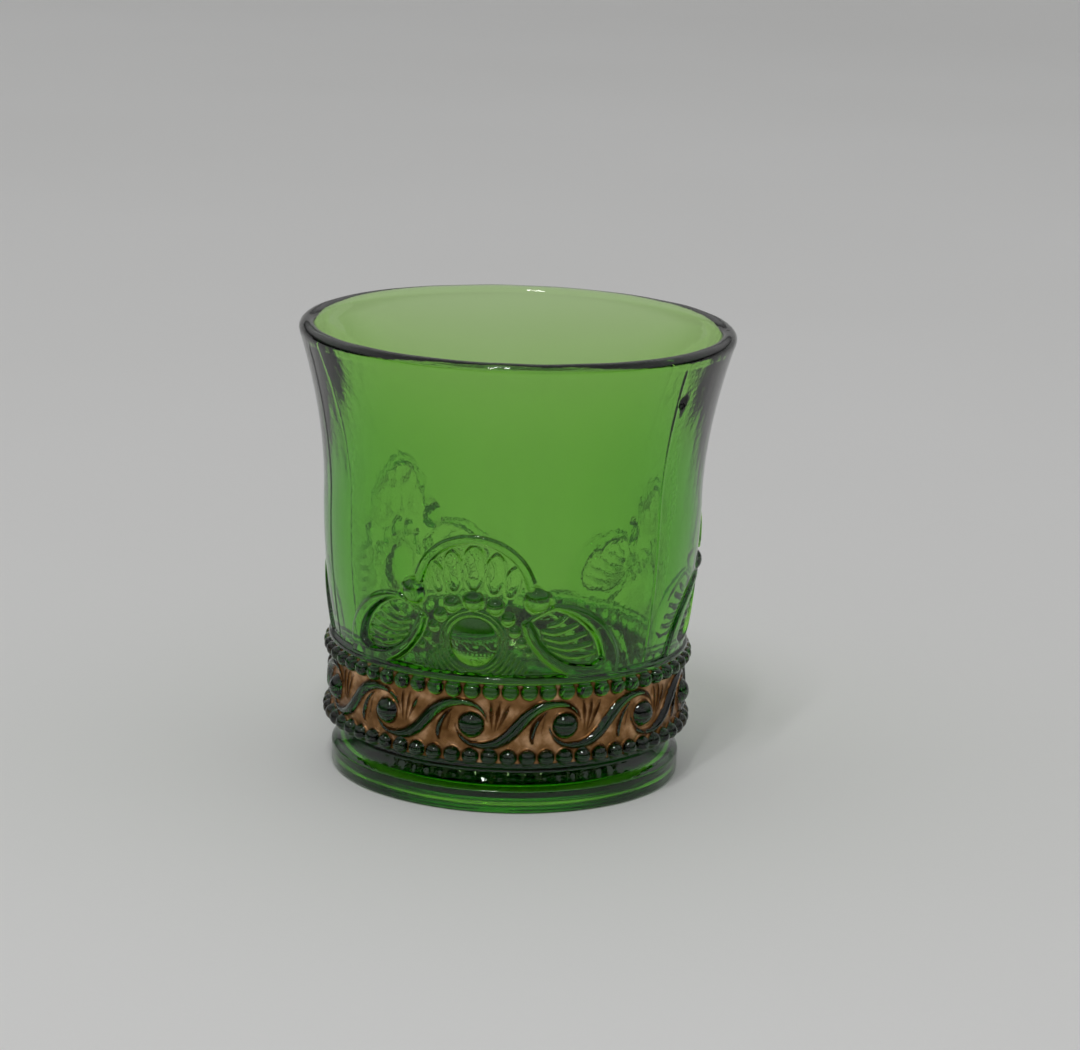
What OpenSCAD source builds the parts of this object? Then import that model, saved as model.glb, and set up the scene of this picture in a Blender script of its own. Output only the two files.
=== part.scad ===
// Small pressed-glass tumbler (toothpick holder) with a gilded scroll belt.
// +Z is up, the origin is the centre of the face it stands on.
// Angles run round the Z axis from the front (-Y) towards +X.

/* [Bowl] */
// Overall height
height = 61; // [55:0.5:68]
// Outer radius at the fire-polished rim
rim_r = 29.2; // [28:0.1:30]
// Outer radius at the waist, the straightest part of the wall
waist_r = 25.4; // [25.2:0.1:25.8]
// Thickness of the glass at the rim
rim_wall = 2.3; // [1.8:0.1:2.8]
// Thickness of the glass at the waist
waist_wall = 3.85; // [3.4:0.05:4.2]
// Height of the inside floor above the table
floor_z = 11; // [9.5:0.1:12]
// Radius of the rounded corner round the inside floor
floor_fillet = 4; // [2:0.5:6]

/* [Foot] */
// Largest radius of the foot ring
foot_r = 23.65; // [22.5:0.05:24.5]
// Height of the upright edge of the foot ring
foot_edge = 3.2; // [2.5:0.1:3.8]
// Radius of the neck between the foot and the belt
neck_r = 21.5; // [20:0.1:22.5]
// Depth of the hollow under the foot
foot_hollow = 1.2; // [0.6:0.1:2]

/* [Belt] */
// Radius of the ground that the scrolls stand on
belt_r = 23.6; // [23.4:0.1:23.8]
// Radius of the rounded shoulder over the upper beads
shoulder_r = 24.3; // [24.1:0.05:24.5]
// Number of beads in each row
bead_count = 60; // [48:12:60]
// Radius of a bead
bead_r = 1.1; // [0.8:0.05:1.1]
// How far the scrolls stand out from the ground
scroll_height = 0.8; // [0.4:0.1:1]
// Radius of a boss on the belt
boss_r = 1.82; // [1.5:0.02:1.9]
// Thickness of the gilding as drawn
gild_thickness = 0.1; // [0.06:0.02:0.2]

/* [Motifs] */
// Radius of the round cabochon in the middle of a motif
cabochon_r = 3.4; // [3:0.1:3.5]
// Height of the relief lines of a motif
relief_height = 0.75; // [0.4:0.05:0.9]
// How far the mould seams stand out
seam_height = 0.12; // [0.08:0.02:0.2]

/* [Hidden] */

// Large motifs round the bowl, and scrolls round the belt, each with one boss
motif_count = 3;
scroll_count = 12;

glass_green = [0.16, 0.45, 0.08, 0.6];
light_green = [0.28, 0.6, 0.15, 0.8];
gold = [0.75, 0.52, 0.3];

// Smoothness of round shapes
round_fn = 240;
ball_fn = 120;

// Levels, from the table up
neck_z = 5.3;
belt_bottom = 6.5;
belt_top = 17.9;
shoulder_z = 18.35;
ledge_z = 18.9;
waist_z = 38;
rim_tube = rim_wall / 2;
lip_z = height - rim_tube;

// Radii of the plain wall
ledge_r = belt_r;
waist_in = waist_r - waist_wall;
rim_in = rim_r - rim_wall;
floor_in = 18.2;
flare_power = 1.85;
taper_power = 2;

// The outer and inner radius of the bowl's wall at a height: a flare above the waist
// and a taper below it
function flare(z) = pow((z - waist_z) / (lip_z - waist_z), flare_power);
function taper(z, low) = pow((waist_z - z) / (waist_z - low), taper_power);
function wall_out(z) =
    z > waist_z ? waist_r + (rim_r - waist_r) * flare(z)
                : waist_r - (waist_r - ledge_r) * taper(z, ledge_z);
function wall_in(z) =
    z > waist_z ? waist_in + (rim_in - waist_in) * flare(z)
                : waist_in - (waist_in - floor_in) * taper(z, floor_z);

// Heights from a to b in n equal steps
function steps(a, b, n) = [for (i = [0:n]) a + (b - a) * i / n];
function arc(cx, cy, r, a, b, n) = [for (t = steps(a, b, n)) [cx + r * cos(t), cy + r * sin(t)]];

// ---- bowl and foot -------------------------------------------------------

corner_z = floor_z + floor_fillet;
corner_r = wall_in(corner_z);

// Points up the wall's outer face, moved out by h
low_steps = steps(ledge_z, waist_z, 12);
high_steps = [for (z = steps(waist_z, lip_z, 14)) if (z > waist_z) z];
function wall_points(levels, h) = [for (z = levels) [wall_out(z) + h, z]];

module bowl_section() {
    rim_top = arc(rim_r - rim_tube, lip_z, rim_tube, 15, 165, 10);
    inner = [for (z = steps(lip_z, corner_z, 20)) [wall_in(z), z]];
    corner = arc(corner_r - floor_fillet, corner_z, floor_fillet, -9, -90, 8);
    round_off = 0.15;
    shoulder = [[belt_r, belt_top], [shoulder_r - round_off, belt_top],
                [shoulder_r, belt_top + round_off], [shoulder_r - 0.05, shoulder_z]];
    polygon(concat([[0, belt_bottom], [belt_r, belt_bottom]], shoulder, wall_points(low_steps, 0),
                   wall_points(high_steps, 0), rim_top, inner, corner, [[0, floor_z]]));
}

module bowl() {
    color(glass_green)
    rotate_extrude($fn = round_fn)
    bowl_section();
}

module foot_section() {
    hollow_r = foot_r - 4.2;
    toe = 0.35;
    slope_sag = 0.35;
    slope = [for (t = steps(0, 1, 8))
        [foot_r - 0.15 + (neck_r - foot_r + 0.15) * t,
         foot_edge + (neck_z - foot_edge) * t - slope_sag * sin(180 * t)]];
    polygon(concat([[0, foot_hollow], [hollow_r - foot_hollow, foot_hollow], [hollow_r, 0],
                    [foot_r - toe - 0.1, 0], [foot_r - 0.1, toe], [foot_r, foot_edge / 2],
                    [foot_r - 0.03, foot_edge - 0.25]], slope,
                   [[neck_r, belt_bottom], [0, belt_bottom]]));
}

module foot() {
    color(glass_green)
    rotate_extrude($fn = round_fn)
    foot_section();
}

// ---- relief --------------------------------------------------------------

// The bowl's outer form without its cavity, from the ledge to the lip
module wall_core() {
    rotate_extrude($fn = round_fn)
    polygon(concat([[0, ledge_z - 1], [ledge_r, ledge_z - 1]], wall_points(low_steps, 0),
                   wall_points(high_steps, 0), [[0, lip_z]]));
}

// The layer that relief stands in: from the wall's outer face to h outside it
module wall_layer(h, levels = low_steps) {
    top = levels[len(levels) - 1];
    difference() {
        rotate_extrude($fn = round_fn)
        polygon(concat([[0, ledge_z]], wall_points(levels, h), [[0, top]]));
        wall_core();
    }
}

module belt_layer(h) {
    difference() {
        translate([0, 0, belt_bottom])
        cylinder(r = belt_r + h, h = belt_top - belt_bottom, $fn = round_fn);
        translate([0, 0, belt_bottom - 1])
        cylinder(r = belt_r, h = belt_top - belt_bottom + 2, $fn = round_fn);
    }
}

// A flat outline pushed outwards from the axis at an angle
module stamp(angle) {
    depth = 8;
    rotate([0, 0, angle])
    translate([0, depth - 27, 0])
    rotate([90, 0, 0])
    linear_extrude(depth)
    children();
}

// A ball at an angle, a height and a distance from the axis
module ball(angle, r_axis, z, r) {
    rotate([0, 0, angle])
    translate([0, -r_axis, z])
    sphere(r = r, $fn = ball_fn);
}

// Lays arc lengths on a cylinder of radius r flat on the plane facing the angle a0
function flat(points, r, a0) =
    [for (p = points) [r * sin(p[0] / r * 180 / PI - a0), p[1]]];

// A smooth curve through hand-placed points (Catmull-Rom)
function spline_point(p0, p1, p2, p3, t) =
    0.5 * (2 * p1 + (p2 - p0) * t + (2 * p0 - 5 * p1 + 4 * p2 - p3) * t * t
           + (3 * p1 - p0 - 3 * p2 + p3) * t * t * t);
function spline(points, n) =
    let (last = len(points) - 1)
    concat([for (i = [0:last - 1], j = [0:n - 1])
        spline_point(points[max(i - 1, 0)], points[i], points[i + 1],
                     points[min(i + 2, last)], j / n)], [points[last]]);

// A band along a path; a third number in each point is its width there
function heading(path, i) =
    let (a = path[max(i - 1, 0)], b = path[min(i + 1, len(path) - 1)], d = [b[0] - a[0], b[1] - a[1]])
    d / norm(d);
function side(path, i, sign) =
    let (d = heading(path, i)) [path[i][0] - sign * d[1] * path[i][2] / 2,
                                path[i][1] + sign * d[0] * path[i][2] / 2];
function band(path) =
    concat([for (i = [0:len(path) - 1]) side(path, i, 1)],
           [for (i = [len(path) - 1:-1:0]) side(path, i, -1)]);

// ---- belt ----------------------------------------------------------------

bead_axis_r = 23.84;
upper_bead_z = 16.7;
lower_bead_z = 7.8;
boss_z = 12.05;
scroll_z = 12.15;
cell_angle = 360 / scroll_count;
cell_length = 2 * PI * belt_r / scroll_count;

module bead_row(z) {
    difference() {
        for (i = [0:bead_count - 1])
            ball(i * 360 / bead_count, bead_axis_r, z, bead_r);
        translate([0, 0, belt_bottom - 1])
        cylinder(r = belt_r, h = belt_top - belt_bottom + 2, $fn = round_fn);
    }
}

module upper_beads() {
    color(light_green)
    bead_row(upper_bead_z);
}

module lower_beads() {
    color(light_green)
    bead_row(lower_bead_z);
}

// Half of the S-shaped scroll, from its middle to the thin end round the next boss
scroll_half = [[0, 0, 1.45], [1.3, 1.45, 1.4], [2.9, 2.5, 1.15], [4.7, 2.85, 0.85],
               [6.5, 2.6, 0.6], [7.7, 1.65, 0.4], [8.35, 0.4, 0.2]];
scroll_path = concat([for (i = [len(scroll_half) - 1:-1:1])
                         [-scroll_half[i][0], -scroll_half[i][1], scroll_half[i][2]]], scroll_half);

module scroll_outline() {
    path = [for (p = spline(scroll_path, 4)) [p[0], p[1] + scroll_z, p[2]]];
    polygon(flat(band(path), belt_r, 0));
}

// The comma-shaped leaf and the short stroke on the left of a boss
leaf_path = [[-2.4, 2, 0.2], [-3.3, 1.2, 0.5], [-4.1, -0.1, 0.75], [-4.45, -1.5, 0.75], [-4.3, -2.3, 0.4]];
stroke_path = [[-2.75, 1.2, 0.2], [-3, 0.1, 0.35], [-3.2, -1, 0.3]];

module leaf_outline(path) {
    lifted = [for (p = spline(path, 4)) [p[0], p[1] + boss_z, p[2]]];
    polygon(flat(band(lifted), belt_r, 0));
}

// The sprig of three blades on the right of a boss: the root and tip of each
sprig_blades = [[[2.7, -0.7], [2.5, 3]], [[3.05, -0.9], [3.7, 3.05]], [[3.4, -0.6], [4.9, 2.8]]];

module blade_outline(root, tip) {
    middle = root + (tip - root) * 0.65;
    path = [[root[0], root[1], 0.12], [middle[0], middle[1], 0.5], [tip[0], tip[1], 0.15]];
    lifted = [for (p = spline(path, 4)) [p[0], p[1] + boss_z, p[2]]];
    polygon(flat(band(lifted), belt_r, 0));
}

module scroll_stamps() {
    for (i = [0:scroll_count - 1])
        stamp((i + 0.5) * cell_angle)
        scroll_outline();
}

module leaf_stamps() {
    for (i = [0:scroll_count - 1], path = [leaf_path, stroke_path])
        stamp(i * cell_angle)
        leaf_outline(path);
}

module sprig_stamps() {
    for (i = [0:scroll_count - 1], blade = sprig_blades)
        stamp(i * cell_angle)
        blade_outline(blade[0], blade[1]);
}

module boss_balls() {
    boss_rise = 1.45;
    ball_r = (boss_r * boss_r + boss_rise * boss_rise) / (2 * boss_rise);
    for (i = [0:scroll_count - 1])
        ball(i * cell_angle, belt_r + boss_rise - ball_r, boss_z, ball_r);
}

// Holes in the gilding that a boss stands in
module boss_stamps() {
    for (i = [0:scroll_count - 1])
        stamp(i * cell_angle)
        polygon(arc(0, boss_z, boss_r + 0.03, 0, 352.5, 47));
}

module scroll_ridges() {
    color(light_green)
    intersection() {
        scroll_stamps();
        belt_layer(scroll_height);
    }
}

module scroll_bosses() {
    color(light_green)
    difference() {
        boss_balls();
        translate([0, 0, belt_bottom])
        cylinder(r = belt_r, h = belt_top - belt_bottom, $fn = round_fn);
    }
}

module scroll_leaves() {
    color(light_green)
    intersection() {
        leaf_stamps();
        belt_layer(0.7 * scroll_height);
    }
}

module scroll_sprigs() {
    color(light_green)
    intersection() {
        sprig_stamps();
        belt_layer(0.45 * scroll_height);
    }
}

// The gold film on the ground between the raised shapes
module gilding() {
    film_low = lower_bead_z + bead_r + 0.1;
    film_high = upper_bead_z - bead_r - 0.1;
    color(gold)
    difference() {
        rotate([0, 0, cell_angle / 2])
        rotate_extrude($fn = round_fn)
        translate([belt_r, film_low])
        square([gild_thickness, film_high - film_low]);
        scroll_stamps();
        leaf_stamps();
        sprig_stamps();
        boss_stamps();
    }
}

// ---- motifs --------------------------------------------------------------

motif_angle = 360 / motif_count;
// Radius on which the lengths along the motif are measured
motif_r = 24.9;
cabochon_z = 23.15;

module each_motif() {
    for (i = [0:motif_count - 1])
        rotate([0, 0, i * motif_angle])
        children();
}

// Runs its children on the right of a motif and mirrored on the left
module both_sides() {
    children();
    mirror([1, 0, 0])
    children();
}

function along(s) = s / motif_r * 180 / PI;

module cabochons() {
    rise = 0.95;
    ball_r = (cabochon_r * cabochon_r + rise * rise) / (2 * rise);
    color(light_green)
    each_motif()
    intersection() {
        ball(0, wall_out(cabochon_z) + rise - ball_r, cabochon_z, ball_r);
        wall_layer(2 * rise);
    }
}

module cabochon_rings() {
    ring_in = cabochon_r + 0.25;
    ring_out = ring_in + 0.55;
    color(light_green)
    each_motif()
    intersection() {
        stamp(0)
        translate([0, cabochon_z])
        difference() {
            circle(r = ring_out, $fn = ball_fn);
            circle(r = ring_in, $fn = ball_fn);
        }
        wall_layer(0.75 * relief_height);
    }
}

// The arc of beads round the cabochon: distance along the wall, height, radius
middle_bead = [0, 28.75, 1.4];
side_beads = [[2.85, 28.1, 1.15], [4.55, 26.55, 0.95], [5.55, 24.85, 0.78],
              [6.55, 23.3, 0.62], [7.5, 22, 0.48]];

module medallion_bead(b) {
    sink = 0.3;
    ball(along(b[0]), wall_out(b[1]) - sink * b[2], b[1], b[2]);
}

module medallion_beads() {
    color(light_green)
    each_motif()
    difference() {
        union() {
            medallion_bead(middle_bead);
            for (b = side_beads, side = [-1, 1])
                medallion_bead([side * b[0], b[1], b[2]]);
        }
        wall_core();
    }
}

// The lobes of the shell fan: foot, tip and width
middle_lobe = [[0, 31], [0, 35.9], 2.7];
side_lobes = [[[2.65, 30.6], [3, 35], 2.3], [[4.75, 30.1], [5.5, 33.4], 1.8]];

module lobe_outline(lobe) {
    ends = [[0, 0.6], [0.25, 1], [0.7, 0.95], [1, 0.35]];
    path = [for (e = ends) let (p = lobe[0] + (lobe[1] - lobe[0]) * e[0]) [p[0], p[1], lobe[2] * e[1]]];
    polygon(flat(band(spline(path, 4)), motif_r, 0));
}

module fan_lobes() {
    color(light_green)
    each_motif()
    intersection() {
        union() {
            stamp(0)
            lobe_outline(middle_lobe);
            both_sides()
            for (lobe = side_lobes)
                stamp(0)
                lobe_outline(lobe);
        }
        wall_layer(0.6 * relief_height);
    }
}

// The half-round ridge over the fan, and the knobs at its ends
arch_z = 29.5;
arch_r = 7.6;
arch_width = 1.2;
knob_s = 8.45;
knob_z = 29.2;
knob_r = 1.85;

module arch_ridges() {
    path = [for (p = arc(0, arch_z, arch_r, 12, 168, 28)) [p[0], p[1], arch_width]];
    color(light_green)
    each_motif()
    intersection() {
        stamp(0)
        polygon(flat(band(path), motif_r, 0));
        wall_layer(relief_height);
    }
}

module arch_knobs() {
    color(light_green)
    each_motif()
    for (side = [-1, 1])
        difference() {
            ball(along(side * knob_s), wall_out(knob_z) - 0.35 * knob_r, knob_z, knob_r);
            wall_core();
        }
}

// The pointed leaf on the right of a motif: its outer edge, and the hollow with the ribs
leaf_middle = 31;
leaf_edge = [[10.6, 28.7], [13.2, 28.4], [15.8, 27.2], [18.4, 25], [20.1, 22.5], [20.9, 20], [21, 18.3]];
leaf_foot = [[13.5, 18.3], [11.2, 19.6], [9.6, 20.8], [8.3, 22.2], [7.1, 24], [6.5, 26]];
hollow_edge = [[7.6, 26.4], [10.6, 27.9], [13.2, 27], [15.3, 25.4], [16.9, 23.4], [17.9, 20.9]];
hollow_foot = [[16.6, 20.1], [13.2, 20.5], [10.7, 21.9], [9, 23.6]];

module leaf_shape(upper, lower) {
    polygon(flat(concat(spline(upper, 3), spline(lower, 3)), motif_r, leaf_middle));
}

module leaf_borders() {
    color(light_green)
    each_motif()
    both_sides()
    intersection() {
        stamp(leaf_middle)
        difference() {
            leaf_shape(leaf_edge, leaf_foot);
            leaf_shape(hollow_edge, hollow_foot);
        }
        wall_layer(relief_height);
    }
}

// The ribs in the leaf: start, lowest part and end
rib_paths = [[[10.2, 25.7], [11.3, 26.1], [12.4, 26.9]], [[9.3, 25], [11.2, 24.75], [14, 25.7]],
             [[9.6, 24.1], [12.2, 23.6], [15.4, 24.4]], [[9.8, 23.2], [12.8, 22.45], [16.4, 22.9]],
             [[10.4, 22.4], [13.6, 21.3], [17.1, 21.6]]];
rib_width = 0.5;

module rib_outline(rib) {
    path = spline([[rib[0][0], rib[0][1], 0.25], [rib[1][0], rib[1][1], rib_width],
                   [rib[2][0], rib[2][1], 0.3]], 5);
    polygon(flat(band(path), motif_r, leaf_middle));
}

module leaf_ribs() {
    color(light_green)
    each_motif()
    both_sides()
    intersection() {
        for (rib = rib_paths)
            stamp(leaf_middle)
            rib_outline(rib);
        wall_layer(0.8 * relief_height);
    }
}

// The nested arcs low on each side of the cabochon
flank_count = 5;
flank_pitch = 0.75;
flank_first = 5.05;
flank_width = 0.38;

module flank_arc(k) {
    r = flank_first + flank_pitch * k;
    top = -14 - 3 * k;
    bottom = -asin((cabochon_z - ledge_z - 0.35) / r);
    path = [for (p = arc(0, cabochon_z, r, top, bottom, 8)) [p[0], p[1], flank_width]];
    polygon(flat(band(path), motif_r, 0));
}

module flank_arcs() {
    color(light_green)
    each_motif()
    both_sides()
    intersection() {
        for (k = [0:flank_count - 1])
            stamp(0)
            flank_arc(k);
        wall_layer(0.6 * relief_height);
    }
}

// The fins left where the three mould parts met, halfway between the motifs
module mould_seams() {
    seam_width = 0.3;
    levels = concat(low_steps, [for (z = high_steps) if (z < lip_z - 1) z]);
    color(light_green)
    intersection() {
        for (i = [0:motif_count - 1])
            rotate([0, 0, (i + 0.5) * motif_angle])
            translate([-seam_width / 2, -rim_r - 1, ledge_z])
            cube([seam_width, rim_r, height - ledge_z]);
        wall_layer(seam_height, levels);
    }
}

bowl();
foot();
upper_beads();
lower_beads();
scroll_ridges();
scroll_bosses();
scroll_leaves();
scroll_sprigs();
gilding();
cabochons();
cabochon_rings();
medallion_beads();
fan_lobes();
arch_ridges();
arch_knobs();
leaf_borders();
leaf_ribs();
flank_arcs();
mould_seams();
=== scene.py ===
"""A small pressed-glass tumbler with a gilded scroll belt, on a pale floor.

Lengths in the tables below are in millimetres, and angles run round the Z axis
from the front (-Y) towards +X, as in the CAD model.
"""
import math
import random

import bpy
import numpy as np
from mathutils import Matrix, Vector


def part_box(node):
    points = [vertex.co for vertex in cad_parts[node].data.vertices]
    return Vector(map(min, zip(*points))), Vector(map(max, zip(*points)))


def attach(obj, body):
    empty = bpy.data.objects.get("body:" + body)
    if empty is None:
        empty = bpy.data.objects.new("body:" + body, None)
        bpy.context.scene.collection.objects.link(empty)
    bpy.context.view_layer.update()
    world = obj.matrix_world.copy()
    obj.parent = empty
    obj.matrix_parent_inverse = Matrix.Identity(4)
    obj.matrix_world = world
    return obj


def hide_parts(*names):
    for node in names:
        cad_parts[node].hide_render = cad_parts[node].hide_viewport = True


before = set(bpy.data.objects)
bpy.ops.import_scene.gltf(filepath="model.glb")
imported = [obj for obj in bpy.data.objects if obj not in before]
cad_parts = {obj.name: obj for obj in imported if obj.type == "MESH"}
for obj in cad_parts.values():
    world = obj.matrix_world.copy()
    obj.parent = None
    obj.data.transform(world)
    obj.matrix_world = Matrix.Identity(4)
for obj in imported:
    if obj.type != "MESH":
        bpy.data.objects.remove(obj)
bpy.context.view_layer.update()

MM = 0.001

# ---- sizes of the glass ----------------------------------------------------

FOOT_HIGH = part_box("foot")[1]
BOWL_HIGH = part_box("bowl")[1]
HEIGHT = BOWL_HIGH[2] / MM
RIM_R = BOWL_HIGH[0] / MM
FOOT_R = FOOT_HIGH[0] / MM

WAIST_R, WAIST_WALL, WAIST_Z = 25.4, 3.85, 38.0
RIM_WALL = 2.3
LIP_Z = HEIGHT - RIM_WALL / 2
FLOOR_Z, FLOOR_R, FLOOR_FILLET = 11.0, 18.2, 4.0
FLARE_POWER, TAPER_POWER = 1.85, 2.0

BELT_R, BELT_BOTTOM, BELT_TOP = 23.6, 6.5, 17.6
SHOULDER_R, SHOULDER_Z, WALL_Z = 24.3, 18.3, 18.9
NECK_R, NECK_Z = 21.5, 5.3
FOOT_EDGE, FOOT_HOLLOW = 3.2, 1.2
HOLLOW_INSET, HOLLOW_DOME = 4.2, 0.3
TOE_ROUND, CREST_ROUND, NECK_ROUND, SLOPE_SAG = 0.55, 0.35, 0.35, 0.35
# How far the foot's side, its crest, the start of its slope and the belt's lower edge lie
# inside the full radius, and how far the neck's round lies below the belt
SIDE_INSET, CREST_INSET, SLOPE_INSET, BELT_INSET, NECK_DROP = 0.05, 0.03, 0.15, 0.5, 0.33
# Room for the waves of the rim inside the CAD model's box
RIM_INSET, RIM_DROP, RIM_SHARE = 0.04, 0.05, 0.98

# Columns round the glass: fine where there is relief, coarse elsewhere
FINE, COARSE = 900, 180
SCROLLS, MOTIFS, BEADS = 12, 3, 60
COLUMN_ANGLES = np.arange(FINE) * 2 * math.pi / FINE


def steps(low, high, size):
    """Levels from low to high, about `size` apart."""
    return np.linspace(low, high, max(2, round((high - low) / size) + 1))


# Heights of the fine rings on the belt, which the gilding shares
BELT_LEVELS = steps(BELT_BOTTOM + 0.06, BELT_TOP, 0.165)


def wall_out(z):
    """The plain outer wall: its radius at height z."""
    flare = np.clip((z - WAIST_Z) / (LIP_Z - WAIST_Z), 0, None) ** FLARE_POWER
    taper = np.clip((WAIST_Z - z) / (WAIST_Z - WALL_Z), 0, None) ** TAPER_POWER
    return WAIST_R + (RIM_R - WAIST_R) * flare - (WAIST_R - BELT_R) * taper


def wall_in(z):
    """The wall of the cavity: its radius at height z."""
    waist_in = WAIST_R - WAIST_WALL
    flare = np.clip((z - WAIST_Z) / (LIP_Z - WAIST_Z), 0, None) ** FLARE_POWER
    taper = np.clip((WAIST_Z - z) / (WAIST_Z - FLOOR_Z), 0, None) ** TAPER_POWER
    return waist_in + (RIM_R - RIM_WALL - waist_in) * flare - (waist_in - FLOOR_R) * taper


# ---- drawing relief --------------------------------------------------------
# A feature is a height over the ground at every point (S, Z) of a grid. Outside its
# outline it falls below zero, so that features join in a smooth union.

BELOW = -0.4


def smooth_union(features, blend=0.06):
    total = np.zeros_like(features[0])
    for feature in features:
        overlap = np.clip(blend - np.abs(total - feature), 0, None) / blend
        total = np.maximum(total, feature) + overlap ** 2 * blend / 4
    return total


def cap(S, Z, s, z, radius, rise):
    """A spherical cap of this radius on the ground and this height."""
    ball_r = (radius ** 2 + rise ** 2) / (2 * rise)
    square = (S - s) ** 2 + (Z - z) ** 2
    height = np.sqrt(np.clip(ball_r ** 2 - square, 0, None)) - (ball_r - rise)
    return np.maximum(np.where(square < ball_r ** 2, height, BELOW), BELOW)


def bead(S, Z, s, z, radius, lift):
    """A ball whose centre is `lift` above the ground."""
    distance = np.hypot(S - s, Z - z)
    height = lift + np.sqrt(np.clip(radius ** 2 - distance ** 2, 0, None))
    return np.maximum(height - 4 * np.clip(distance - radius, 0, None), BELOW)


def spline(points, parts=5):
    """A Catmull-Rom curve through the points."""
    points = [np.array(p, float) for p in points]
    padded = [points[0]] + points + [points[-1]]
    curve = []
    for p0, p1, p2, p3 in zip(padded, padded[1:], padded[2:], padded[3:]):
        for t in np.arange(parts) / parts:
            curve.append(0.5 * (2 * p1 + (p2 - p0) * t + (2 * p0 - 5 * p1 + 4 * p2 - p3) * t ** 2
                                + (3 * p1 - p0 - 3 * p2 + p3) * t ** 3))
    return curve + [points[-1]]


def arc(s, z, radius, start, end, count, *width):
    """Points on an arc, angles in degrees, each with its width."""
    angles = np.radians(np.linspace(start, end, count + 1))
    return [np.array([s + radius * math.cos(a), z + radius * math.sin(a), *width]) for a in angles]


def along_path(S, Z, path):
    """Distance to a path in half widths, the half width, and how far along it, 0 to 1."""
    away = np.full(S.shape, 99.0)
    half = np.ones(S.shape)
    along = np.zeros(S.shape)
    last = len(path) - 1
    for i in range(last):
        (s0, z0, w0), (s1, z1, w1) = path[i], path[i + 1]
        ds, dz = s1 - s0, z1 - z0
        t = np.clip(((S - s0) * ds + (Z - z0) * dz) / (ds * ds + dz * dz), 0, 1)
        here = (w0 + (w1 - w0) * t) / 2
        distance = np.hypot(S - s0 - t * ds, Z - z0 - t * dz) / here
        closer = distance < away
        away = np.where(closer, distance, away)
        half = np.where(closer, here, half)
        along = np.where(closer, (i + t) / last, along)
    return away, half, along


def ridge(S, Z, path, height, full_width=None, roundness=2.2):
    """A rounded ridge along a path, lower where the path is narrow."""
    away, half, _ = along_path(S, Z, path)
    top = height if full_width is None else height * (2 * half / full_width) ** 0.7
    return np.maximum(top * (1 - away ** roundness), BELOW)


def inside(S, Z, outline):
    """Distance to a closed outline, positive inside it."""
    nearest = np.full(S.shape, 99.0)
    crossed = np.zeros(S.shape, bool)
    for (s0, z0), (s1, z1) in zip(outline, outline[1:] + outline[:1]):
        ds, dz = s1 - s0, z1 - z0
        length = ds * ds + dz * dz
        if length == 0:
            continue
        t = np.clip(((S - s0) * ds + (Z - z0) * dz) / length, 0, 1)
        nearest = np.minimum(nearest, np.hypot(S - s0 - t * ds, Z - z0 - t * dz))
        if dz != 0:
            crossing = ((z0 > Z) != (z1 > Z)) & (S < s0 + ds * (Z - z0) / dz)
            crossed ^= crossing
    return np.where(crossed, nearest, -nearest)


# ---- the belt --------------------------------------------------------------

CELL = 2 * math.pi * BELT_R / SCROLLS
BEAD_R, BEAD_LIFT = 1.1, 0.24
BEAD_ROWS = (7.8, 16.7)
BOSS_Z, BOSS_R, BOSS_RISE = 12.05, 1.82, 1.45
SCROLL_Z, SCROLL_HEIGHT, SCROLL_WIDTH = 12.15, 0.85, 1.85
# Distance along the belt, height and width at each point of the paths below
SCROLL_HALF = [(0, 0, SCROLL_WIDTH), (1.3, 1.45, 1.8), (2.9, 2.5, 1.5), (4.7, 2.85, 1.1),
               (6.5, 2.6, 0.75), (7.7, 1.65, 0.5), (8.35, 0.4, 0.25)]
LEAF_PATH = [(-2.4, 2, 0.2), (-3.3, 1.2, 0.5), (-4.1, -0.1, 0.75), (-4.45, -1.5, 0.75),
             (-4.3, -2.3, 0.4)]
STROKE_PATH = [(-2.75, 1.2, 0.2), (-3, 0.1, 0.35), (-3.2, -1, 0.3)]
LEAF_HEIGHT, STROKE_HEIGHT, LEAF_WIDTH = 0.55, 0.35, 0.75
SPRIG_BLADES = [((2.7, -0.7), (2.5, 3)), ((3.05, -0.9), (3.7, 3.05)), ((3.4, -0.6), (4.9, 2.8))]
BLADE_WIDTHS, BLADE_HEIGHT = (0.2, 0.55, 0.25), 0.35


def moved(path, s, z):
    return [np.array([p[0] + s, p[1] + z, p[2]]) for p in path]


def belt_relief(S, Z):
    """One repeat of the belt, from a boss to the next: S runs from 0 to CELL."""
    whole_scroll = [(-s, -z, w) for s, z, w in reversed(SCROLL_HALF[1:])] + SCROLL_HALF
    features = []
    for shift in (-CELL, 0, CELL, 2 * CELL):
        scroll = moved(spline(whole_scroll), shift - CELL / 2, SCROLL_Z)
        features.append(ridge(S, Z, scroll, SCROLL_HEIGHT, SCROLL_WIDTH))
        features.append(cap(S, Z, shift, BOSS_Z, BOSS_R, BOSS_RISE))
        for path, height in ((LEAF_PATH, LEAF_HEIGHT), (STROKE_PATH, STROKE_HEIGHT)):
            features.append(ridge(S, Z, moved(spline(path), shift, BOSS_Z), height, LEAF_WIDTH))
        for root, tip in SPRIG_BLADES:
            middle = [a + (b - a) * 0.65 for a, b in zip(root, tip)]
            blade = [(*point, width) for point, width in zip((root, middle, tip), BLADE_WIDTHS)]
            blade = moved(spline(blade), shift, BOSS_Z)
            features.append(ridge(S, Z, blade, BLADE_HEIGHT, BLADE_WIDTHS[1]))
    pitch = 2 * math.pi * BELT_R / BEADS
    for z in BEAD_ROWS:
        for i in range(-1, BEADS // SCROLLS + 2):
            features.append(bead(S, Z, i * pitch, z, BEAD_R, BEAD_LIFT))
    return smooth_union(features)


# ---- the motifs ------------------------------------------------------------

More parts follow.
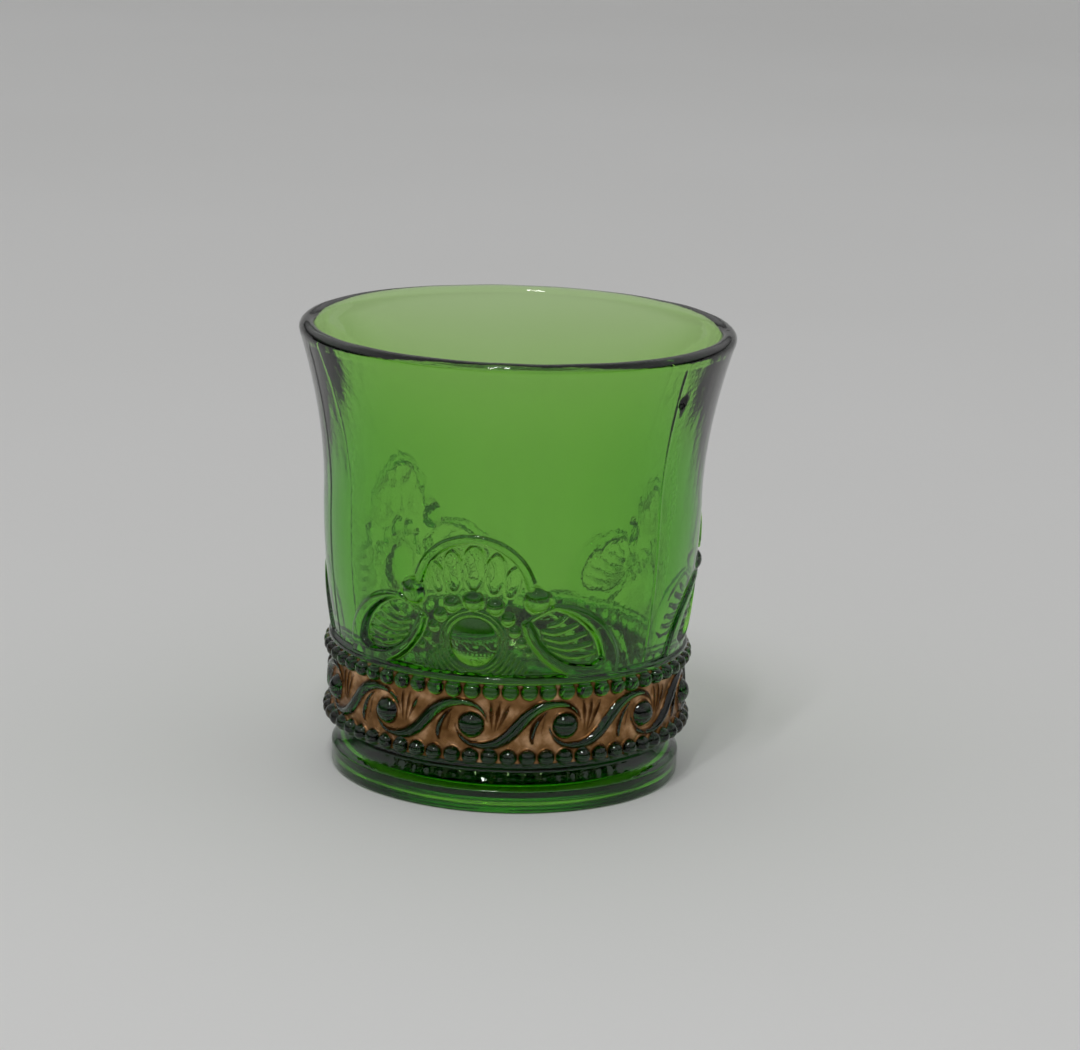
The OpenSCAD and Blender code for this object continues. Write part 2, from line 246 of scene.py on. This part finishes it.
MOTIF_R = 24.9
CABOCHON_Z, CABOCHON_R, CABOCHON_RISE = 23.15, 3.4, 1.15
# Radius, width and height of each ring round the cabochon
RINGS = [(3.85, 0.5, 0.45), (4.38, 0.4, 0.35)]
# Distance from the middle, height and radius of each bead and of the knob
MOTIF_BEADS = [(0, 28.75, 1.4), (2.85, 28.1, 1.15), (4.55, 26.55, 0.95), (5.55, 24.85, 0.78),
               (6.55, 23.3, 0.62), (7.5, 22, 0.48)]
KNOB = (8.45, 29.2, 1.85)
BEAD_SINK, KNOB_SINK = 0.3, 0.35
# Foot, tip and width of each lobe of the fan
LOBES = [((0, 31), (0, 35.9), 2.7), ((2.65, 30.6), (3, 35), 2.3),
         ((4.75, 30.1), (5.5, 33.4), 1.8)]
PETAL_HEIGHT, PETAL_SPREAD, SCOOP_FOOT, SCOOP_TIP = 0.5, 1.22, 0.75, 0.2
ARCH_Z, ARCH_R, ARCH_WIDTH, ARCH_HEIGHT = 29.5, 7.6, 1.2, 0.85
LEAF_EDGE = [(10.6, 28.7), (13.2, 28.4), (15.8, 27.2), (18.4, 25), (20.1, 22.5), (20.9, 20),
             (21, 18.3)]
LEAF_FOOT = [(13.5, 18.3), (11.2, 19.6), (9.6, 20.8), (8.3, 22.2), (7.1, 24), (6.5, 26)]
BORDER_HEIGHT, BORDER_SLOPE = 0.9, 0.6
HOLLOW_EDGE = [(7.6, 26.4), (10.6, 27.9), (13.2, 27), (15.3, 25.4), (16.9, 23.4), (17.9, 20.9)]
HOLLOW_FOOT = [(16.6, 20.1), (13.2, 20.5), (10.7, 21.9), (9, 23.6)]
RIBS = [[(10.2, 25.7), (11.3, 26.1), (12.4, 26.9)], [(9.3, 25), (11.2, 24.75), (14, 25.7)],
        [(9.6, 24.1), (12.2, 23.6), (15.4, 24.4)], [(9.8, 23.2), (12.8, 22.45), (16.4, 22.9)],
        [(10.4, 22.4), (13.6, 21.3), (17.1, 21.6)]]
RIB_WIDTHS, RIB_HEIGHT = (0.3, 0.62, 0.35), 0.5
FLANK_ARCS, FLANK_FIRST, FLANK_PITCH = 5, 5.05, 0.75
FLANK_WIDTH, FLANK_HEIGHT, FLANK_START = 0.42, 0.38, -14
FIELD_DEPTH, FIELD_EDGE = 0.45, 0.35


def fan_lobe(S, Z, lobe):
    """A raised petal with a scoop in it that is deepest at its foot."""
    foot, tip, width = (np.array(part, float) for part in lobe)
    path = []
    for t, share in ((0, 0.6), (0.25, 1), (0.7, 0.95), (1, 0.35)):
        path.append(np.append(foot + (tip - foot) * t, width * share))
    away, _, along = along_path(S, Z, spline(path))
    petal = PETAL_HEIGHT * (1 - (away / PETAL_SPREAD) ** 3)
    depth = SCOOP_FOOT + (SCOOP_TIP - SCOOP_FOOT) * along
    scoop = depth * np.clip(1 - away ** 2.5, 0, None)
    return np.maximum(petal, BELOW) - scoop


def leaf(S, Z):
    """A broad leaf with a raised rounded border round a ribbed hollow."""
    whole = inside(S, Z, [tuple(p) for p in spline(LEAF_EDGE) + spline(LEAF_FOOT)])
    hollow = inside(S, Z, [tuple(p) for p in spline(HOLLOW_EDGE) + spline(HOLLOW_FOOT)])
    border = np.clip(np.minimum(whole, -hollow) / BORDER_SLOPE, -0.5, 1)
    features = [np.maximum(BORDER_HEIGHT * (1 - (1 - border) ** 3), BELOW)]
    for rib in RIBS:
        path = [(*point, width) for point, width in zip(rib, RIB_WIDTHS)]
        features.append(ridge(S, Z, spline(path), RIB_HEIGHT, RIB_WIDTHS[1]))
    return smooth_union(features)


def field_depth(S, Z):
    """The ground of a motif lies a little deeper than the plain wall round it."""
    arch = [tuple(p) for p in arc(0, ARCH_Z, ARCH_R + ARCH_WIDTH / 2, 88, 15, 12)]
    leaf_edge = [tuple(p) for p in spline(LEAF_EDGE)]
    outline = [(-2, arch[0][1])] + arch + [(9.6, 30.7)] + leaf_edge + [(21, 16), (-2, 16)]
    share = np.clip(inside(S, Z, outline) / FIELD_EDGE, 0, 1)
    return FIELD_DEPTH * share ** 2 * (3 - 2 * share)


def motif_relief(S, Z):
    """The right half of a motif: S is the distance from its middle."""
    features = [cap(S, Z, 0, CABOCHON_Z, CABOCHON_R, CABOCHON_RISE)]
    for radius, width, height in RINGS:
        ring = arc(0, CABOCHON_Z, radius, -90, 90, 30, width)
        features.append(ridge(S, Z, ring, height))
    for s, z, radius in MOTIF_BEADS:
        features.append(bead(S, Z, s, z, radius, -BEAD_SINK * radius))
    features.append(bead(S, Z, *KNOB, -KNOB_SINK * KNOB[2]))
    arch = arc(0, ARCH_Z, ARCH_R, 12, 90, 20, ARCH_WIDTH)
    features.append(ridge(S, Z, arch, ARCH_HEIGHT, roundness=4))
    features += [fan_lobe(S, Z, lobe) for lobe in LOBES]
    features.append(leaf(S, Z))
    for k in range(FLANK_ARCS):
        radius = FLANK_FIRST + FLANK_PITCH * k
        bottom = -math.degrees(math.asin((CABOCHON_Z - SHOULDER_Z) / radius))
        flank = arc(0, CABOCHON_Z, radius, FLANK_START - 3 * k, bottom, 10, FLANK_WIDTH)
        features.append(ridge(S, Z, flank, FLANK_HEIGHT))
    return smooth_union(features) - field_depth(S, Z)


# ---- the pressing ----------------------------------------------------------

# The chip is just beside the right-hand seam, and a little taller than wide
CHIP_Z, CHIP_R, CHIP_DEPTH, CHIP_ASIDE, CHIP_SQUEEZE = 54.5, 0.85, 0.6, 0.9, 0.8
SEAM_HEIGHT, SEAM_SPREAD, SEAM_TOP = 0.12, 0.11, LIP_Z - 1.5
# How far the surfaces wander from true: outside, cavity, rim and foot
WALL_WAVES, CAVITY_WAVES, RIM_WAVES, FOOT_WAVES = 0.03, 0.035, 0.05, 0.05


def waviness(angle, z, seed, amount, pull):
    """The slow unevenness of pressed glass; `pull` is how much longer waves are upwards."""
    rng = random.Random(seed)
    total = 0
    for _ in range(9):
        turns = rng.choice((3, 5, 7, 8, 11, 13, 17, 19, 23))
        rise = rng.uniform(-1, 1) * turns / 25 / pull
        phase = rng.uniform(0, 6.3)
        total = total + math.sqrt(3 / turns) * np.sin(turns * angle + rise * z + phase)
    return amount * total / 3


def shoulder(z):
    """The narrow rounded step over the upper beads."""
    rise = np.clip((z - BELT_TOP) / 0.35, 0, 1)
    fall = np.clip((z - SHOULDER_Z) / (WALL_Z - SHOULDER_Z), 0, 1)
    bulge = np.sin(rise * math.pi / 2) * np.cos(fall * math.pi / 2)
    clear_of_the_wall = 1.0 * (fall >= 1)
    return BELT_R + (SHOULDER_R - BELT_R) * bulge - clear_of_the_wall


def outer_radius(z):
    """The outer surface on the fine columns, one row for each level in z."""
    angle, level = np.meshgrid(COLUMN_ANGLES, z)
    cell = FINE // SCROLLS
    tile = belt_relief(*np.meshgrid(np.arange(cell) * CELL / cell, z))
    on_belt = BELT_R + np.tile(tile, (1, SCROLLS))

    half = FINE // MOTIFS // 2
    tile = motif_relief(*np.meshgrid(np.arange(half + 1) * MOTIF_R * 2 * math.pi / FINE, z))
    column = (np.arange(FINE) + half) % (2 * half) - half
    on_wall = wall_out(level) + np.where(level < WAIST_Z + 1, tile[:, np.abs(column)], 0)

    from_seam = (np.abs(column) - half) * MOTIF_R * 2 * math.pi / FINE
    seam = SEAM_HEIGHT * np.exp(-(from_seam / SEAM_SPREAD) ** 2) * (level < SEAM_TOP)
    beside_seam = (angle - math.pi / MOTIFS) * MOTIF_R - CHIP_ASIDE
    chip = np.hypot(beside_seam, (level - CHIP_Z) * CHIP_SQUEEZE) / CHIP_R
    on_wall = on_wall + seam - CHIP_DEPTH * np.clip(1 - chip ** 2, 0, None)

    step = shoulder(level)
    above = np.maximum(on_wall, step)
    radius = np.where(level < BELT_TOP, np.maximum(on_belt, step), above)
    waves = waviness(angle, level, 4, WALL_WAVES, 1.6)
    return radius + waves * np.clip((level - WALL_Z) / 6, 0, 1)


def ring(radius, z, columns):
    """A ring of points at one level or, with arrays, at a level of its own for each column."""
    angle = np.arange(columns) * 2 * math.pi / columns
    radius = np.broadcast_to(radius, (columns,))
    return np.column_stack([radius * np.sin(angle), -radius * np.cos(angle),
                            np.broadcast_to(z, (columns,))])


def stitched(first, second, first_count, second_count):
    """Faces between two rings, given the index of each ring's first point."""
    if first_count == second_count:
        j = np.arange(first_count)
        k = (j + 1) % first_count
        return np.column_stack([first + j, first + k, second + k, second + j]).tolist()
    faces = []
    ratio = max(first_count, second_count) // min(first_count, second_count)
    widening = second_count > first_count
    fine, coarse = (second, first) if widening else (first, second)
    fine_count, coarse_count = max(first_count, second_count), min(first_count, second_count)
    for j in range(coarse_count):
        here, there = coarse + j, coarse + (j + 1) % coarse_count
        middle = ratio // 2
        fan = []
        for i in range(ratio):
            a, b = fine + (j * ratio + i) % fine_count, fine + (j * ratio + i + 1) % fine_count
            fan.append((here if i < middle else there, a, b))
        fan.append((here, fine + j * ratio + middle, there))
        faces += [face[::-1] if widening else face for face in fan]
    return faces


def foot_profile(uneven):
    """Radius and height of each ring from the middle of the underside to the belt."""
    hollow_r, side_r = FOOT_R - HOLLOW_INSET, FOOT_R - SIDE_INSET
    slope_foot_r = FOOT_R - SLOPE_INSET
    profile = []
    for radius in steps(2, hollow_r - FOOT_HOLLOW - 0.3, 2.6):
        profile.append((radius, FOOT_HOLLOW + HOLLOW_DOME * (1 - (radius / hollow_r) ** 2)))
    for a in np.radians(np.linspace(20, 75, 5)):
        profile.append((hollow_r - FOOT_HOLLOW * (1 - math.sin(a)), FOOT_HOLLOW * math.cos(a)))
    profile.append((hollow_r + 0.35, 0.02))
    profile.append((FOOT_R - 2.1, 0))
    for a in np.radians(np.linspace(-80, -5, 5)):
        toe_r = side_r - TOE_ROUND * (1 - math.cos(a))
        profile.append((toe_r + uneven, TOE_ROUND * (1 + math.sin(a))))
    profile.append((side_r + uneven, FOOT_EDGE / 2))
    for a in np.radians(np.linspace(0, 70, 5)):
        crest_r = FOOT_R - CREST_ROUND + (CREST_ROUND - CREST_INSET) * math.cos(a)
        profile.append((crest_r + uneven, FOOT_EDGE - CREST_ROUND * (1 - math.sin(a))))
    for t in np.linspace(0.12, 1, 9):
        slope_r = slope_foot_r + (NECK_R - slope_foot_r) * t
        slope_z = FOOT_EDGE + (NECK_Z - FOOT_EDGE) * t - SLOPE_SAG * math.sin(math.pi * t)
        profile.append((slope_r + uneven * (1 - t), slope_z))
    profile.append((NECK_R, (NECK_Z + BELT_BOTTOM) / 2))
    for a in np.radians(np.linspace(180, 100, 4)):
        profile.append((NECK_R + NECK_ROUND * (1 + math.cos(a)),
                        BELT_BOTTOM - NECK_DROP + NECK_ROUND * math.sin(a)))
    profile.append((BELT_R - BELT_INSET, BELT_BOTTOM))
    return profile


def rim_and_cavity_profile(angles):
    """Radius and height of each ring over the rim and down to the floor of the cavity."""
    rim_tube = RIM_WALL / 2
    rim_wave = waviness(angles, 0, 2, RIM_WAVES, 1)
    profile = []
    for a in np.radians(np.linspace(0, 180, 15)):
        rim_r = RIM_R - RIM_INSET - rim_tube * (1 - math.cos(a))
        rim_z = LIP_Z - RIM_DROP + (RIM_SHARE * rim_tube + rim_wave) * math.sin(a)
        profile.append((rim_r, rim_z))
    corner_z = FLOOR_Z + FLOOR_FILLET
    corner_r = float(wall_in(corner_z)) - FLOOR_FILLET
    for z in steps(corner_z + 0.5, LIP_Z - 1, 1.3)[::-1]:
        profile.append((wall_in(z) + waviness(angles, z, 7, CAVITY_WAVES, 4), z))
    for a in np.radians(np.linspace(0, -90, 9)):
        profile.append((corner_r + FLOOR_FILLET * math.cos(a),
                        corner_z + FLOOR_FILLET * math.sin(a)))
    for radius in steps(2, corner_r - 1.5, 2.2)[::-1]:
        profile.append((radius, FLOOR_Z))
    return profile


def glass_rings():
    """Rings from the middle of the underside, up the outside, and down into the cavity."""
    angles = np.arange(COARSE) * 2 * math.pi / COARSE
    foot = foot_profile(waviness(angles, 0, 9, FOOT_WAVES, 1))
    levels = np.concatenate([BELT_LEVELS,
                             steps(BELT_TOP + 0.1, WALL_Z, 0.11),
                             steps(WALL_Z + 0.15, WAIST_Z + 0.2, 0.175),
                             steps(WAIST_Z + 1, CHIP_Z - 1.3, 1.1),
                             steps(CHIP_Z - 0.9, CHIP_Z + 0.9, 0.15),
                             steps(CHIP_Z + 1.4, LIP_Z - 0.8, 0.9)])
    rings = [(ring(radius, z, COARSE), COARSE) for radius, z in foot]
    rings += [(ring(radius, z, FINE), FINE) for radius, z in zip(outer_radius(levels), levels)]
    rings += [(ring(radius, z, COARSE), COARSE) for radius, z in rim_and_cavity_profile(angles)]
    return rings


def closed_mesh(name, rings, low_middle, high_middle):
    """A closed mesh of rings, with a fan at each end."""
    points = [ring_points for ring_points, _ in rings]
    starts = np.cumsum([0] + [len(p) for p in points])
    faces = []
    for i in range(len(rings) - 1):
        faces += stitched(int(starts[i]), int(starts[i + 1]), rings[i][1], rings[i + 1][1])
    low, high = int(starts[-1]), int(starts[-1]) + 1
    first_count, last_count, last = rings[0][1], rings[-1][1], int(starts[-2])
    faces += [(low, (j + 1) % first_count, j) for j in range(first_count)]
    faces += [(high, last + j, last + (j + 1) % last_count) for j in range(last_count)]
    corners = np.vstack(points + [[low_middle, high_middle]]) * MM
    mesh = bpy.data.meshes.new(name)
    mesh.from_pydata(corners.tolist(), [], faces)
    mesh.shade_smooth()
    return mesh


def add_piece(name, mesh, material, slot, *nodes):
    piece = bpy.data.objects.new(name, mesh)
    bpy.context.scene.collection.objects.link(piece)
    mesh.materials.append(material)
    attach(piece, "root")
    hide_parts(*nodes)
    return piece


# ---- the gilding -----------------------------------------------------------

GILD_LOW, GILD_HIGH = 6.9, 17.55
GILD_THICKNESS, GILD_OUTWARD = 0.05, 0.2
# How high up the relief the gold reaches, and how unevenly its edge is worn
GILD_CLIMB, COARSE_WEAR, FINE_WEAR = 0.34, 0.15, 0.1


def gilding_mesh():
    """The film on the ground of the belt, cut where the relief rises out of it."""
    radius = outer_radius(BELT_LEVELS)
    angle, level = np.meshgrid(COLUMN_ANGLES, BELT_LEVELS)
    wear = waviness(angle * 5, level * 4, 11, COARSE_WEAR, 1)
    wear += waviness(angle * 17, level * 13, 12, FINE_WEAR, 1)
    height = radius - BELT_R
    keep = GILD_CLIMB + wear - height
    keep = np.minimum(keep, np.minimum(level - GILD_LOW, GILD_HIGH - level))
    spots = np.stack([radius * np.sin(angle), -radius * np.cos(angle), level], -1)

    corners, heights, faces, index = [], [], [], {}

    def corner(a, b=None):
        """The point on the grid at a, or where the film's edge crosses between a and b."""
        key = (a, a) if b is None else (min(a, b), max(a, b))
        if key not in index:
            a, b = key
            t = 0 if a == b else keep[a] / (keep[a] - keep[b])
            index[key] = len(corners)
            corners.append(spots[a] + (spots[b] - spots[a]) * t)
            heights.append(height[a] + (height[b] - height[a]) * t)
        return index[key]

    kept = keep > 0
    for i in range(len(BELT_LEVELS) - 1):
        for j in range(FINE):
            k = (j + 1) % FINE
            square = [(i, j), (i, k), (i + 1, k), (i + 1, j)]
            flags = [kept[c] for c in square]
            if not any(flags):
                continue
            face = []
            for n in range(4):
                here, there = square[n], square[(n + 1) % 4]
                if flags[n]:
                    face.append(corner(here))
                if flags[n] != flags[(n + 1) % 4]:
                    face.append(corner(here, there))
            faces.append(face)
    mesh = bpy.data.meshes.new("gilding_film")
    mesh.from_pydata((np.array(corners) * MM).tolist(), [], faces)
    layer = mesh.attributes.new("climb", "FLOAT", "POINT")
    layer.data.foreach_set("value", np.clip(np.array(heights) / GILD_CLIMB, 0, 1))
    mesh.shade_smooth()
    return mesh


# ---- materials -------------------------------------------------------------

SODA_GLASS_IOR = 1.51
# Absorption each metre is the density times what the tint lacks of 1
GLASS_TINT, GLASS_DENSITY = (0.461, 0.825, 0.0, 1), 395
GOLD_DARK, GOLD_BROWN, GOLD_BRIGHT = (0.14, 0.065, 0.02), (0.29, 0.15, 0.06), (0.66, 0.4, 0.22)
RIM_OF_GOLD, EDGE_OF_GOLD = (0.4, 0.33, 0.24), (0.15, 0.12, 0.08)


def new_material(name):
    material = bpy.data.materials.new(name)
    material.use_nodes = True
    tree = material.node_tree
    return material, tree, tree.nodes["Principled BSDF"]


def noise(tree, scale, detail=4, stretch=(1, 1, 1)):
    """Noise in the object's own metres; returns its factor socket."""
    place = tree.nodes.new("ShaderNodeTexCoord")
    mapping = tree.nodes.new("ShaderNodeMapping")
    mapping.inputs["Scale"].default_value = stretch
    texture = tree.nodes.new("ShaderNodeTexNoise")
    texture.inputs["Scale"].default_value = scale
    texture.inputs["Detail"].default_value = detail
    tree.links.new(place.outputs["Object"], mapping.inputs["Vector"])
    tree.links.new(mapping.outputs["Vector"], texture.inputs["Vector"])
    return texture.outputs["Fac"]


def ramp(tree, value, stops):
    node = tree.nodes.new("ShaderNodeValToRGB")
    while len(node.color_ramp.elements) < len(stops):
        node.color_ramp.elements.new(0.5)
    for element, (place, colour) in zip(node.color_ramp.elements, stops):
        element.position = place
        element.color = (*colour, 1) if isinstance(colour, tuple) else (colour, colour, colour, 1)
    tree.links.new(value, node.inputs["Fac"])
    return node.outputs["Color"]


def bump(tree, height, distance, strength, under=None):
    node = tree.nodes.new("ShaderNodeBump")
    node.inputs["Distance"].default_value = distance
    node.inputs["Strength"].default_value = strength
    tree.links.new(height, node.inputs["Height"])
    if under is not None:
        tree.links.new(under, node.inputs["Normal"])
    return node.outputs["Normal"]


def green_glass():
    material, tree, shader = new_material("green_glass")
    shader.inputs["Base Color"].default_value = (1, 1, 1, 1)
    shader.inputs["IOR"].default_value = SODA_GLASS_IOR
    shader.inputs["Transmission Weight"].default_value = 1
    haze = ramp(tree, noise(tree, 160, 5), [(0.45, 0.0), (0.75, 0.05)])
    tree.links.new(haze, shader.inputs["Roughness"])
    waves = bump(tree, noise(tree, 180, 2, (1, 1, 0.35)), 0.0004, 0.25)
    skin = bump(tree, noise(tree, 1400, 3), 0.00002, 0.5, waves)
    tree.links.new(skin, shader.inputs["Normal"])
    volume = tree.nodes.new("ShaderNodeVolumeAbsorption")
    volume.inputs["Color"].default_value = GLASS_TINT
    volume.inputs["Density"].default_value = GLASS_DENSITY
    tree.links.new(volume.outputs["Volume"], tree.nodes["Material Output"].inputs["Volume"])
    return material


def old_gold():
    material, tree, shader = new_material("gilding")
    shader.inputs["Metallic"].default_value = 1
    patches = ramp(tree, noise(tree, 420, 6),
                   [(0.3, GOLD_DARK), (0.52, GOLD_BROWN), (0.72, GOLD_BRIGHT)])
    climb = tree.nodes.new("ShaderNodeAttribute")
    climb.attribute_name = "climb"
    edge = ramp(tree, climb.outputs["Fac"], [(0.2, 1.0), (0.6, RIM_OF_GOLD), (1.0, EDGE_OF_GOLD)])
    mix = tree.nodes.new("ShaderNodeMix")
    mix.data_type = "RGBA"
    mix.blend_type = "MULTIPLY"
    mix.inputs["Factor"].default_value = 1
    tree.links.new(patches, mix.inputs["A"])
    tree.links.new(edge, mix.inputs["B"])
    tree.links.new(mix.outputs["Result"], shader.inputs["Base Color"])
    roughness = ramp(tree, noise(tree, 900, 4), [(0.3, 0.22), (0.75, 0.5)])
    tree.links.new(roughness, shader.inputs["Roughness"])
    tree.links.new(bump(tree, noise(tree, 1600, 5), 0.00006, 0.6), shader.inputs["Normal"])
    return material


PAPER_DULL, PAPER_CLEAN = (0.78, 0.78, 0.77), (0.82, 0.82, 0.815)


def floor_paper():
    material, tree, shader = new_material("floor_paper")
    tone = ramp(tree, noise(tree, 3, 3), [(0.3, PAPER_DULL), (0.7, PAPER_CLEAN)])
    tree.links.new(tone, shader.inputs["Base Color"])
    shader.inputs["Roughness"].default_value = 0.75
    tree.links.new(bump(tree, noise(tree, 700, 4), 0.0001, 0.3), shader.inputs["Normal"])
    return material


# ---- the stage, light and camera -------------------------------------------

# Sizes of this section are in metres. The room's brightness is given by height, from 0
# straight below to 1 straight above, and the horizon is at 0.5.
UP = (0, 0, 1)
ROOM_STOPS = [(0.5, 0.03), (0.6, 0.08), (0.67, 0.7), (0.8, 0.9), (1.0, 0.45)]
ROOM_STRENGTH = 0.72
GLINT_PLACES = [(-0.06, -0.42, 0.78), (0.02, -0.42, 0.78)]
GLINT_SIZE, GLINT_POWER = (0.025, 0.3), 0.8


def add_floor():
    """A pale sheet that lies flat under the glass and sweeps up behind it."""
    front, back, width, sweep = -1.6, 0.9, 1.8, 0.3
    line = [(front, 0), (front / 2, 0), (0, 0), (back, 0)]
    for a in np.radians(np.linspace(6, 90, 15)):
        line.append((back + sweep * math.sin(a), sweep * (1 - math.cos(a))))
    line.append((back + sweep, sweep + 0.02))
    columns = 7
    points = [(x, y, z) for y, z in line for x in np.linspace(-width, width, columns)]
    faces = []
    for i in range(len(line) - 1):
        for corner in range(i * columns, i * columns + columns - 1):
            faces.append((corner, corner + 1, corner + columns + 1, corner + columns))
    mesh = bpy.data.meshes.new("floor")
    mesh.from_pydata(points, [], faces)
    mesh.shade_smooth()
    floor = bpy.data.objects.new("floor", mesh)
    bpy.context.scene.collection.objects.link(floor)
    mesh.materials.append(floor_paper())


def add_lamp(name, place, size, power, target=(0, 0, 0.03)):
    light = bpy.data.lights.new(name, "AREA")
    light.shape = "RECTANGLE"
    light.size, light.size_y = size
    light.energy = power
    lamp = bpy.data.objects.new(name, light)
    bpy.context.scene.collection.objects.link(lamp)
    lamp.location = place
    lamp.rotation_euler = (Vector(target) - Vector(place)).to_track_quat("-Z", "Y").to_euler()


def add_world():
    """A soft room: dim at the horizon, brightest some way up, and softer overhead."""
    world = bpy.data.worlds.new("room")
    bpy.context.scene.world = world
    world.use_nodes = True
    tree = world.node_tree
    place = tree.nodes.new("ShaderNodeTexCoord")
    facing = tree.nodes.new("ShaderNodeVectorMath")
    facing.operation = "DOT_PRODUCT"
    facing.inputs[1].default_value = UP
    tree.links.new(place.outputs["Generated"], facing.inputs[0])
    share = tree.nodes.new("ShaderNodeMath")
    share.operation = "MULTIPLY_ADD"
    share.inputs[1].default_value = 0.5
    share.inputs[2].default_value = 0.5
    tree.links.new(facing.outputs["Value"], share.inputs[0])
    background = tree.nodes["Background"]
    tree.links.new(ramp(tree, share.outputs["Value"], ROOM_STOPS), background.inputs["Color"])
    background.inputs["Strength"].default_value = ROOM_STRENGTH


def add_camera():
    """The photograph's view: a long lens, from a little to the right and above."""
    lens, distance, aside, level = 126.67, 0.512, 0.0038, 0.0333
    azimuth, elevation, roll = np.radians((10.3, 13.8, 2))
    right = Vector((math.cos(azimuth), math.sin(azimuth), 0))
    target = aside * right + Vector((0, 0, level))
    backwards = Vector((math.sin(azimuth) * math.cos(elevation),
                        -math.cos(azimuth) * math.cos(elevation), math.sin(elevation)))
    up = backwards.cross(right)
    x_axis = right * math.cos(roll) + up * math.sin(roll)
    y_axis = backwards.cross(x_axis)
    camera = bpy.data.objects.new("camera", bpy.data.cameras.new("camera"))
    bpy.context.scene.collection.objects.link(camera)
    camera.data.lens = lens
    camera.data.sensor_width = 36
    camera.data.clip_start = 0.01
    rotation = Matrix((x_axis, y_axis, backwards)).transposed()
    camera.matrix_world = Matrix.Translation(target + distance * backwards) @ rotation.to_4x4()
    bpy.context.scene.camera = camera


GLASS_NODES = [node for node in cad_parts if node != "gilding"]
glass_mesh = closed_mesh("glass_pressing", glass_rings(), (0, 0, FOOT_HOLLOW + HOLLOW_DOME),
                         (0, 0, FLOOR_Z))
add_piece("glass_pressing", glass_mesh, green_glass(), "green_glass", *GLASS_NODES)
film = add_piece("gilding_film", gilding_mesh(), old_gold(), "gilding", "gilding")
shell = film.modifiers.new("thickness", "SOLIDIFY")
shell.thickness = GILD_THICKNESS * MM
shell.offset = GILD_OUTWARD

add_floor()
add_world()
for place in GLINT_PLACES:
    add_lamp("glint", place, GLINT_SIZE, GLINT_POWER)
add_camera()

scene = bpy.context.scene
scene.view_settings.view_transform = "Standard"
scene.cycles.max_bounces = 24
scene.cycles.transmission_bounces = 24
scene.cycles.glossy_bounces = 8
